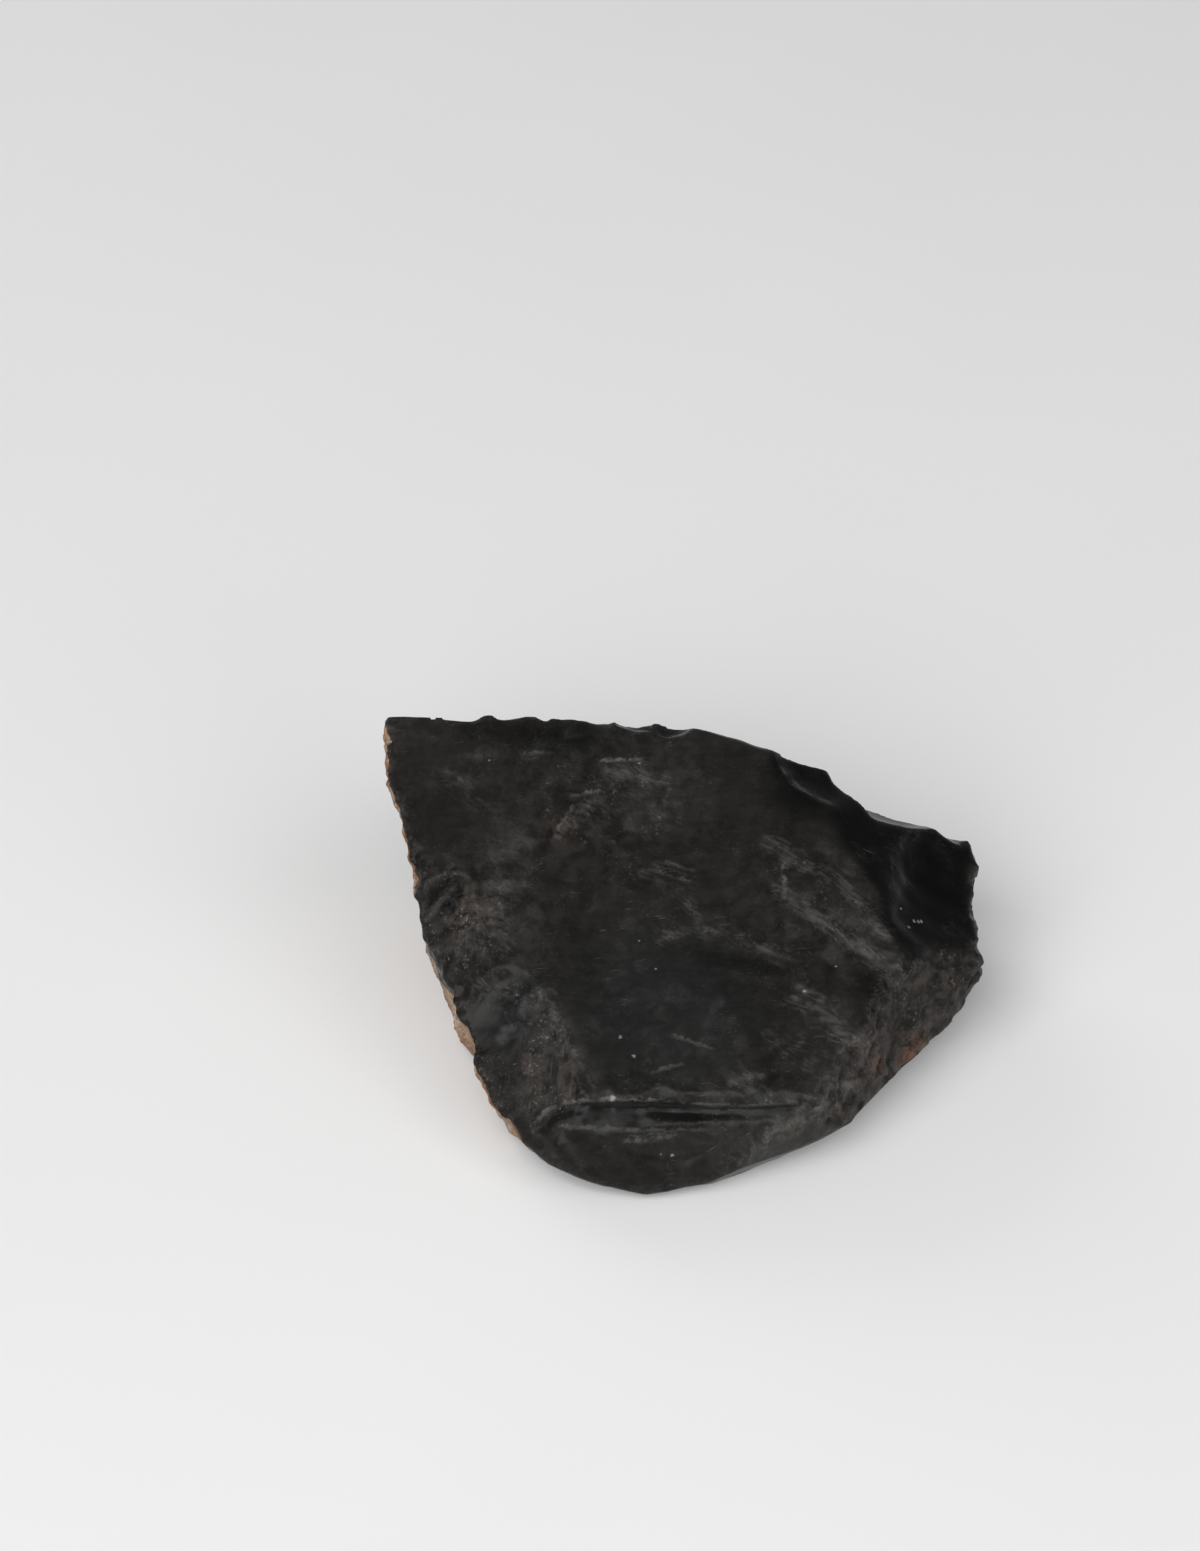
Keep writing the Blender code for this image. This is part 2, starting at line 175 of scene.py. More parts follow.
# Soft pale veils: strength, reach and path.
VEILS = [
    (1.0, 1.5, [(-23.0, -15.5, 13.7), (-21.8, -14.3, 15.1), (-20.2, -13.5, 16.8), (-17.9, -13.4, 18.6)]),
    (1.0, 0.9, [(-6.0, -28.8, 8.6), (-3.9, -28.5, 8.7), (-2.4, -28.3, 8.8)]),
    (0.5, 2.2, [(-17.9, -13.7, 18.3), (-15.8, -17.0, 17.2), (-13.9, -20.9, 15.7), (-12.0, -24.0, 14.4)]),
    (0.5, 1.8, [(-24.9, -5.0, 22.3), (-24.6, -2.4, 23.4), (-23.8, -0.5, 24.2)]),
    (0.5, 2.5, [(-23.9, 5.9, 27.1), (-22.2, 5.3, 26.7), (-20.7, 6.4, 27.1)]),
    (0.4, 1.2, [(-27.5, 17.8, 31.7), (-24.9, 18.2, 32.0)]),
    (0.4, 1.4, [(-30.3, 16.1, 30.9), (-27.4, 13.9, 30.1)]),
    (1.0, 1.1, [(14.3, -12.1, 19.1), (15.2, -12.7, 19.0), (16.7, -13.6, 18.8)]),
    (0.8, 1.1, [(7.3, -24.0, 14.4), (9.1, -23.6, 14.5)]),
    (0.6, 2.2, [(21.9, -18.5, 16.0), (23.2, -18.0, 13.8)]),
    (1.0, 2.4, [(20.2, -21.1, 10.2), (17.1, -25.6, 11.6), (10.3, -28.7, 8.6)]),
]

# Painted shade: dark lines in the creases and under the ledge lip: strength, reach and path.
SHADES = [
    (0.9, 2.3, [(-15.0, -26.6, 11.2), (-10.8, -27.0, 11.4), (-5.8, -27.0, 11.2), (1.6, -27.0, 11.1)]),
    (0.8, 1.8, [(1.6, -27.0, 11.1), (7.8, -27.2, 11.5), (12.7, -27.2, 11.9)]),
    (0.6, 2.0, [(1.8, -7.6, 20.4), (6.8, -8.6, 20.2), (11.2, -10.1, 19.8)]),
    (0.5, 2.4, [(20.1, -6.9, 20.7), (22.5, -9.5, 18.7), (23.2, -14.1, 17.9), (22.4, -17.9, 16.2)]),
    (0.7, 3.2, [(-27.0, 20.9, 33.2), (-19.8, 20.5, 32.3), (-13.0, 20.7, 33.0)]),
]

# The brightest specks: place and half their width.
SPECKS = [
    ((-9.2, -26.0, 13.1), 0.42),
    ((-5.8, 16.5, 31.8), 0.16),
    ((12.9, 2.9, 25.8), 0.16),
    ((27.4, 0.4, 21.1), 0.16),
    ((28.3, -1.8, 19.9), 0.22),
    ((29.1, -0.2, 19.6), 0.20),
    ((30.1, 0.4, 18.9), 0.26),
    ((29.7, 0.1, 19.2), 0.26),
    ((18.9, -8.9, 19.6), 0.18),
    ((-8.3, -18.6, 16.6), 0.24),
    ((-6.6, -20.9, 15.5), 0.22),
    ((-1.8, -29.0, 6.2), 0.18),
    ((-3.2, -29.0, 6.4), 0.16),
    ((14.8, -12.7, 19.0), 0.24),
    ((-5.9, -5.8, 21.2), 0.12),
    ((-3.8, -9.4, 19.8), 0.12),
    ((24.4, -16.0, 12.8), 0.16),
    ((-25.0, 17.3, 31.6), 0.12),
]

# Places with a tone or a colour of their own: middle, reach and strength.
BLACK_SPOTS = [
    ((31.0, 8.0, 20.0), 9.0, 1.0),
    ((16.0, 15.0, 28.5), 8.0, 0.9),
    ((-28.1, -8.3, 17.2), 1.2, 0.4),
    ((14.7, -27.0, 11.4), 1.3, 0.8),
]
BROWN_SPOTS = [
    ((24.0, -16.5, 11.5), 6.0, 1.0),
    ((32.4, -6.1, 14.0), 7.0, 0.6),
    ((-20.8, -18.4, 12.5), 6.5, 0.5),
    ((-28.0, -1.5, 22.0), 5.0, 0.7),
    ((-14.0, -24.5, 13.5), 4.0, 0.6),
    ((-15.0, 8.5, 27.5), 5.0, 0.5),
]
RUST_SPOTS = [
    ((29.2, -11.0, 7.5), 3.4, 1.0),
    ((26.8, -13.5, 6.5), 2.6, 0.7),
    ((24.4, -17.0, 10.9), 2.0, 0.5),
]
PALE_SPOTS = [
    ((-23.5, 5.0, 26.5), 7.0, 0.9),
    ((-23.5, -2.5, 23.5), 8.0, 0.9),
    ((-21.0, -8.0, 20.0), 4.0, 0.4),
    ((-5.0, 13.0, 30.0), 9.0, 0.3),
    ((18.0, -1.0, 23.5), 9.0, 0.3),
    ((22.5, -18.0, 14.5), 4.5, 0.5),
    ((17.5, -24.5, 12.0), 5.0, 0.9),
    ((12.0, -28.0, 9.0), 4.0, 0.6),
]

# Places with more texture than the smooth split face: middle, reach and strength.
LIVELY_SPOTS = [
    ((-12.0, 13.0, 30.0), 20.0, 0.8),
    ((-24.0, -2.0, 23.0), 12.0, 1.0),
    ((17.0, -4.0, 22.0), 15.0, 0.7),
    ((-5.0, -26.5, 11.0), 9.0, 0.5),
    ((8.0, -26.5, 11.0), 9.0, 0.5),
]

# Places with a bluish cast.
COOL_SPOTS = [
    ((-3.0, -15.0, 18.0), 17.0, 0.6),
    ((-21.5, -14.0, 15.6), 5.0, 1.0),
]

# How far below the rim the rind begins, from the front to the back: places along y, and depths there.
RIND_ALONG = (-18.0, -12.0, -3.0, 2.0, 8.0, 16.0, 24.0)
RIND_BEGINS = (0.0, 4.8, 5.0, 0.8, -0.1, -0.5, -1.8)
RIND_EDGE = 0.8

# How far out on its own side of the stone the rind is found, and the height that rims lie above.
RIND_REACH = (16.0, 21.0)
RIM_ABOVE = 5.0

# Hollows that are smoothed out a little more.
SOFT_SPOTS = [((-28.1, -8.3, 17.2), 5.0, 1.0)]

# Small flake scars along the ridges: how many, their radii, how deep for their radius, and between
# which heights over the foot they set in.
CHIPS = 300
CHIP_SEED = 5
CHIP_RADII = (0.5, 1.1)
CHIP_DEPTH = 0.16
CHIPS_ABOVE = (0.6, 2.0)

# The flat break that the stone rests on stays flat, and relief sets in between these heights over it.
FOOT_KEEP = (0.2, 1.6)

# Colours in linear light, of the stone and then of the floor.
COLOURS = {
    "glass": (0.0015, 0.0015, 0.0015),
    "warm grey": (0.0462, 0.0440, 0.0400),
    "cool grey": (0.0430, 0.0445, 0.0455),
    "brown": (0.072, 0.045, 0.036),
    "haze": (0.154, 0.147, 0.143),
    "warm veil": (0.170, 0.152, 0.140),
    "cool veil": (0.155, 0.155, 0.168),
    "scratch": (0.20, 0.19, 0.18),
    # Painted highlight along the lips, also the pale of scratches and rubbed edges.
    "lip": (0.20, 0.18, 0.16),
    # Painted shade for the creases.
    "crease_shade": (0.003, 0.0028, 0.0026),
    "dust": (0.34, 0.33, 0.31),
    "rust": (0.28, 0.125, 0.055),
    "rind": (0.29, 0.20, 0.135),
    "rusty rind": (0.20, 0.095, 0.045),
    "pale rind": (0.46, 0.39, 0.31),
    "pits": (0.06, 0.042, 0.030),
    "thin rind": (0.15, 0.070, 0.035),
    "grey floor": (0.80, 0.80, 0.80),
    "white floor": (0.83, 0.83, 0.83),
}

# Soft lamps: place in metres, size and power.
SOFTBOXES = {
    "left_softbox": ((-0.45, -0.85, 0.85), 1.1, 15.0),
    "right_softbox": ((0.70, -0.75, 0.80), 1.1, 7.0),
    "back_softbox": ((-0.80, 1.00, 0.45), 0.9, 5.5),
}
SKY_STRENGTH = 0.20
FLOOR_REACH = 3.0


def add_object(name, mesh):
    obj = bpy.data.objects.new(name, mesh)
    bpy.context.scene.collection.objects.link(obj)
    return obj


def settle(obj):
    """Turn the object's modifiers into its mesh."""
    graph = bpy.context.evaluated_depsgraph_get()
    mesh = bpy.data.meshes.new_from_object(obj.evaluated_get(graph))
    obj.modifiers.clear()
    obj.data = mesh


def read_rows(mesh, what):
    """A property of every vertex, as rows of three numbers."""
    rows = np.empty(len(mesh.vertices) * 3)
    mesh.vertices.foreach_get(what, rows)
    return rows.reshape(-1, 3)


def write_places(mesh, places):
    mesh.vertices.foreach_set("co", places.ravel())
    mesh.update()


def edge_ends(mesh):
    ends = np.empty(len(mesh.edges) * 2, dtype=np.int32)
    mesh.edges.foreach_get("vertices", ends)
    return ends.reshape(-1, 2)


def joined(values, others, ends):
    """Add up, for each point, what its edges bring it."""
    size = int(ends.max()) + 1
    if values.ndim == 1:
        first = np.bincount(ends[:, 0], others, size)
        return first + np.bincount(ends[:, 1], values, size)
    columns = [joined(values[:, axis], others[:, axis], ends) for axis in range(values.shape[1])]
    return np.stack(columns, axis=1)


def spread(values, ends, times):
    """Average each point's value with its neighbours', again and again."""
    count = np.bincount(ends.ravel()).astype(float)
    if values.ndim > 1:
        count = count[:, None]
    for _ in range(times):
        total = joined(values[ends[:, 0]], values[ends[:, 1]], ends)
        values = 0.5 * values + 0.5 * total / count
    return values


def unit(rows):
    return rows / np.linalg.norm(rows, axis=-1, keepdims=True)


def ramp(values, start, end):
    """0 up to start, 1 from end on, and a smooth rise between."""
    share = np.clip((values - start) / (end - start), 0.0, 1.0)
    return share * share * (3.0 - 2.0 * share)


def fold(places, facing, ends):
    """How sharply the surface bends at each point, per millimetre: above 0 on a ridge."""
    along = places[ends[:, 1]] - places[ends[:, 0]]
    turn = facing[ends[:, 1]] - facing[ends[:, 0]]
    bend = (turn * along).sum(axis=1) / np.maximum((along * along).sum(axis=1), 1e-4)
    return joined(bend, bend, ends) / np.bincount(ends.ravel())


def lumps(places, size, octaves, seed):
    """Fractal noise at each place, from about -1 to 1, its coarsest lumps of the given size."""
    shift = Vector((17.3, 5.1, 9.7)) * seed
    return np.array([noise.fractal(Vector(place) / size + shift, 1.0, 2.0, octaves) for place in places])


def scallops(places, size, seed):
    """Shallow bowls side by side: 0 in the middle of each, up to about 1 on the crests between."""
    # Without a seed, noise_vector would bend the bowls in another way on every run.
    noise.seed_set(seed)
    shift = Vector((3.7, 11.9, 7.3)) * seed
    heights = []
    for place in places:
        spot = Vector(place) / size + shift
        bent = spot + 0.35 * noise.noise_vector(spot * 1.7)
        heights.append(noise.voronoi(bent)[0][0] ** 2)
    return 2.0 * np.array(heights)


def remeshed_stone():
    """A copy of the solid stone's surface, remeshed finely and evenly, in millimetres."""
    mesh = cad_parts[STONE].data.copy()
    mesh.materials.clear()
    bm = bmesh.new()
    bm.from_mesh(mesh)
    bmesh.ops.scale(bm, vec=(1 / MM, 1 / MM, 1 / MM), verts=bm.verts)
    bmesh.ops.remove_doubles(bm, verts=bm.verts, dist=0.001)
    bm.to_mesh(mesh)
    bm.free()
    stone = add_object("onyx", mesh)
    even = stone.modifiers.new("even_mesh", "REMESH")
    even.mode = "VOXEL"
    even.voxel_size = SKIN_STEP
    soften = stone.modifiers.new("soften", "SMOOTH")
    soften.iterations = FIRST_SMOOTHING
    settle(stone)
    return stone


def smooth_faces(places, facing, ends):
    """Smooth the broad faces, and leave the ridges and creases between them crisp."""
    bend = np.abs(spread(fold(places, facing, ends), ends, 3))
    crisp = (ramp(bend, *CRISP_BENDS) * away_from(places, SOFT_SPOTS))[:, None]
    smooth = spread(places, ends, FACE_SMOOTHING)
    return smooth * (1.0 - crisp) + places * crisp


def side_shares(facing):
    """How far each point belongs to each side of the stone, from 0 to 1."""
    shares = {}
    for side, (way, start, end) in SIDES.items():
        shares[side] = ramp(facing @ unit(np.array(way)), start, end)
    return shares


def relief(places, sides):
    """How far the surface stands out at each point: ripples, scallops, swellings and grain."""
    height = SWELLING * lumps(places, SWELLING_SIZE, 3, 1)
    for side, struck, spacing, rise in RIPPLES:
        far = np.linalg.norm(places - np.array(struck), axis=1)
        phase = far / spacing + RIPPLE_WANDER * lumps(places, WANDER_SIZE, 2, 2)
        height += sides[side] * rise * np.sin(2.0 * math.pi * phase)
    for seed, (side, size, depth) in enumerate(SCALLOPS, 3):
        height += sides[side] * depth * (scallops(places, size, seed) - 0.5)
    rough = np.clip(sides["flank"] + sides["rind"] + 0.6 * sides["bevel"], 0.0, 1.0)
    height += (GRAIN + ROUGH_GRAIN * rough) * lumps(places, GRAIN_SIZE, 2, 9)
    return height * ramp(places[:, 2], *FOOT_KEEP)


def carve(places, middle, out, along, radius, stretch, depth):
    """Sink a shallow oval bowl wherever the surface stands proud of it."""
    offset = places - middle
    height = offset @ out
    run = offset @ along
    across = offset @ np.cross(out, along)
    far = np.hypot(run / stretch, across) / radius
    bowl = depth * (far * far - 1.0)
    proud = np.where((far < 1.0) & (np.abs(height) < radius), np.maximum(height - bowl, 0.0), 0.0)
    return places - proud[:, None] * out


def chip(places, facing, weights):
    """Carve small flake scars at points chosen by weight."""
    chance = random.Random(CHIP_SEED)
    smallest, largest = CHIP_RADII
    order = np.cumsum(weights) / np.sum(weights)
    for _ in range(CHIPS):
        here = int(np.searchsorted(order, chance.random()))
        radius = smallest * (largest / smallest) ** chance.random()
        tilt = np.array([chance.uniform(-0.4, 0.4) for _ in range(3)])
        out = unit(facing[here] + tilt)
        along = unit(np.cross(out, unit(np.array([chance.uniform(-1.0, 1.0) for _ in range(3)]))))
        depth = radius * CHIP_DEPTH * chance.uniform(0.6, 1.2)
        places = carve(places, places[here], out, along, radius, chance.uniform(1.0, 2.4), depth)
    return places


def path_parts(path):
    """The straight parts of a path, as pairs of points."""
    points = [np.array(point) for point in path]
    return zip(points, points[1:])


def nearest_on(places, start, end):
    """How far each point lies from a straight part, and the shortest way from there to the point."""
    along = end - start
    where = np.clip((places - start) @ along / (along @ along), 0.0, 1.0)
    away = places - start - where[:, None] * along
    return np.linalg.norm(away, axis=1), away


def beside_path(places, facing, path):
    """How far each point lies from a path, and how far to the right of it."""
    far = np.full(len(places), np.inf)
    beside = np.zeros(len(places))
    for start, end in path_parts(path):
        distance, away = nearest_on(places, start, end)
        right = np.cross(unit(end - start), facing)
        beside = np.where(distance < far, (away * right).sum(axis=1), beside)
        far = np.minimum(far, distance)
    return far, beside


def sink_steps(places, facing):
    """Sink the surface beside each step, sharply at its path and then fading out."""
    depth_here = np.zeros(len(places))
    sunk = [(depth, width, path) for _, _, depth, width, path in STEPS if depth > 0.0]
    for depth, width, path in sunk + [LEDGE]:
        far, beside = beside_path(places, facing, path)
        near_path = 1.0 - ramp(far, width * 0.4, width)
        depth_here = np.maximum(depth_here, depth * ramp(beside, -0.1, 0.35) * near_path)
    return places - facing * depth_here[:, None]


def break_skin(stone):
    """Give the smooth form its small breaks, and note where each finish lies."""
    mesh = stone.data
    ends = edge_ends(mesh)
    places = smooth_faces(read_rows(mesh, "co"), read_rows(mesh, "normal"), ends)
    write_places(mesh, places)
    facing = unit(spread(read_rows(mesh, "normal"), ends, 10))
    sides = side_shares(facing)
    bend = fold(places, facing, ends)
    places = sink_steps(places, facing)
    places = places + facing * relief(places, sides)[:, None]
    above_foot = ramp(places[:, 2], *CHIPS_ABOVE)
    crumbled = sides["flank"] + 0.7 * sides["bevel"]
    crumbled += 0.3 * (sides["rind"] + sides["back"]) + 0.2 * sides["front"]
    ridges = ramp(bend, *CHIPPED_BENDS) * (0.03 + crumbled) * above_foot * away_from(places, BLACK_SPOTS)
    places = chip(places, facing, ridges)
    places[:, 2] = np.maximum(places[:, 2], 0.0)
    write_places(mesh, places)
    note_finishes(mesh, places, facing, ends)


def note_finishes(mesh, places, facing, ends):
    """Store what the material needs to know about each point."""
    bend = spread(fold(places, read_rows(mesh, "normal"), ends), ends, 1)
    keep(mesh, "worn", ramp(bend, *WORN_BENDS))
    # Painted shade in the creases, where the surface bends inwards.
    keep(mesh, "crease_shade", ramp(-bend, *DARK_CREASES))
    sides = {side: spread(share, ends, BLENDS.get(side, 6)) for side, share in side_shares(facing).items()}
    sides["rind"] = rind_share(places, sides["rind"], ends)
    for side, share in sides.items():
        keep(mesh, side, share)
    keep(mesh, "pale", side_tones(sides) + 0.3 * spot_shares(places, PALE_SPOTS))
    keep(mesh, "lively", spot_shares(places, LIVELY_SPOTS))
    keep(mesh, "cool", spot_shares(places, COOL_SPOTS))
    beside, strength = lip_sides(places, facing)
    keep(mesh, "beside", beside)
    # How strong the painted highlight or pale scratch along the nearest lip line is.
    keep(mesh, "lip", strength)
    keep(mesh, "scuffed", line_shares(places, [(pale, haze, path) for pale, haze, _, _, path in STEPS]))
    # Painted shade along the creases and under the ledge lip.
    keep(mesh, "shade", line_shares(places, SHADES))
    keep(mesh, "veil", line_shares(places, VEILS))
    keep(mesh, "black", spot_shares(places, BLACK_SPOTS))
    keep(mesh, "brown", spot_shares(places, BROWN_SPOTS))
    keep(mesh, "rust", spot_shares(places, RUST_SPOTS))


def rind_share(places, share, ends):
    """How thick the rind is at each point of the left side. It begins beside or below the rim."""
    share = share * ramp(places @ unit(np.array(SIDES["rind"][0])), *RIND_REACH)
    bare = np.flatnonzero((share < 0.5) & (places[:, 2] > RIM_ABOVE))
    tree = kdtree.KDTree(len(bare))
    for index in bare:
        tree.insert(places[index], index)
    tree.balance()
    depth = 5.0 * (spread(share, ends, 90) - 0.5)
    for index in np.flatnonzero(share > 0.5):
        depth[index] = tree.find(places[index])[2]
    return ramp(depth - np.interp(places[:, 1], RIND_ALONG, RIND_BEGINS), -RIND_EDGE, RIND_EDGE)


def spot_shares(places, spots):
    """How far each point lies inside one of the spots, from 0 to 1."""
    share = np.zeros(len(places))
    for middle, reach, strength in spots:
        far = np.linalg.norm(places - np.array(middle), axis=1) / reach
        share = np.maximum(share, strength * (1.0 - ramp(far, 0.3, 1.0)))
    return share


def away_from(places, spots):
    return 1.0 - spot_shares(places, spots)


def line_shares(places, lines):
    """How far each point lies on one of the lines, from 0 to 1."""
    share = np.zeros(len(places))
    for strength, reach, path in lines:
        for start, end in path_parts(path):
            distance, _ = nearest_on(places, start, end)
            share = np.maximum(share, strength * (1.0 - ramp(distance / reach, 0.05, 1.0)))
    return share


def side_tones(sides):
    """How pale each point is, by the side that it is on."""
    tone = np.full(len(sides["split"]), REST_TONE)
    for side, value in TONES.items():
        tone += (value - tone) * sides[side]
    return tone


def lip_sides(places, facing):
    """How far each point lies to the right of the nearest lip, and how strong that lip is there."""
    nearest = np.full(len(places), np.inf)
    beside = np.zeros(len(places))
    strength = np.zeros(len(places))
    for lip, path in LIPS:
        far, right = beside_path(places, facing, path)
        nearer = far < nearest
        beside = np.where(nearer, right, beside)
        strength = np.where(nearer, lip * (1.0 - ramp(far, 0.8, 1.4)), strength)
        nearest = np.minimum(nearest, far)
    return np.clip(beside, -2.0, 2.0), strength


def keep(mesh, name, values):
    """Store a value for each point, for the material to read."""
    layer = mesh.attributes.new(name, "FLOAT", "POINT")
    layer.data.foreach_set("value", values.astype(np.float32))


class Wire:
    """An output of a node. Arithmetic on it adds Math nodes."""

    def __init__(self, finish, socket):
        self.finish = finish
        self.socket = socket

    def math(self, operation, first, second):
        return self.finish.node("ShaderNodeMath", {"operation": operation}, {0: first, 1: second})

    def __add__(self, other):
        return self.math("ADD", self, other)

    def __mul__(self, other):
        return self.math("MULTIPLY", self, other)

    def __sub__(self, other):
        return self.math("SUBTRACT", self, other)

    def __rsub__(self, other):
        return self.math("SUBTRACT", other, self)

    __radd__ = __add__
    __rmul__ = __mul__

    def most(self, other):
        return self.math("MAXIMUM", self, other)

    def rise(self, start, end):
        """0 up to start, 1 from end on, and a smooth rise between. With end below start it falls."""
        settings = {"interpolation_type": "SMOOTHSTEP"}
        sockets = {"Value": self, "From Min": start, "From Max": end}
        return self.finish.node("ShaderNodeMapRange", settings, sockets)


class Finish:
    """A material being put together, with its nodes."""

    def __init__(self, name):
        self.material = bpy.data.materials.new(name)
        self.material.use_nodes = True
        self.tree = self.material.node_tree
        self.shader = self.tree.nodes["Principled BSDF"]

    def node(self, kind, settings, sockets, output=0):
        """Add a node: its settings are set first, then its sockets get their values or links."""
        made = self.tree.nodes.new(kind)
        for setting, value in settings.items():
            setattr(made, setting, value)
        for socket, value in sockets.items():
            self.feed(made.inputs[socket], value)
        return Wire(self, made.outputs[output])

    def feed(self, socket, value):
        if isinstance(value, Wire):
            self.tree.links.new(value.socket, socket)
        else:
            socket.default_value = value

    def give(self, name, value):
        """Set or link one of the shader's own sockets."""
        self.feed(self.shader.inputs[name], value)

    def kept(self, name):
        """A value that was stored for each point of the mesh."""
        return self.node("ShaderNodeAttribute", {"attribute_name": name}, {}, "Fac")

    def place(self, lengths, turn=0.0):
        """Where a point lies, turned about the vertical and counted in the given lengths."""
        spot = self.node("ShaderNodeTexCoord", {}, {}, "Object")
        scale = tuple(MM * length for length in lengths)
        sockets = {"Vector": spot, "Rotation": (0.0, 0.0, turn), "Scale": scale}
        return self.node("ShaderNodeMapping", {"vector_type": "TEXTURE"}, sockets)

    def cloud(self, size, detail=3.0, rough=0.5, twist=0.0):
        """Soft noise from 0 to 1, its lumps about size millimetres across."""
        where = self.place((size, size, size))
        sockets = {"Vector": where, "Scale": 1.0, "Detail": detail, "Roughness": rough, "Distortion": twist}
        return self.node("ShaderNodeTexNoise", {}, sockets, "Fac")

    def streaks(self, length, width, turn, twist=0.0):
        """Noise drawn out into streaks that run along the turn."""
        where = self.place((length, width, length), turn)
        sockets = {"Vector": where, "Scale": 1.0, "Detail": 2.0, "Distortion": twist}
        return self.node("ShaderNodeTexNoise", {}, sockets, "Fac")

    def away(self, spot):
        """How many millimetres a point lies from a spot."""
        sockets = {0: self.place((1.0, 1.0, 1.0)), 1: spot}
        return self.node("ShaderNodeVectorMath", {"operation": "DISTANCE"}, sockets, "Value")

    def mix(self, share, first, second):
        """The first colour where share is 0, and the second where it is 1."""
        return self.node("ShaderNodeMix", {"data_type": "RGBA"}, {0: share, 6: first, 7: second}, 2)

    def bump(self, height, depth):
        """Show height, from 0 to 1, as relief that is depth millimetres deep."""
        return self.node("ShaderNodeBump", {}, {"Height": height, "Distance": depth * MM, "Strength": 1.0})


def colour(name):
    return (*COLOURS[name], 1.0)


def bright_specks(finish, grit):
    """The brightest specks, each a little uneven."""
    specks = None
    uneven = (finish.cloud(0.26, 1.0) + grit) * 0.4
    for spot, half in SPECKS:
        speck = (finish.away(spot) + uneven).rise(half * 1.1 + 0.46, half * 0.5 + 0.34)
        specks = speck if specks is None else specks.most(speck)
    return specks


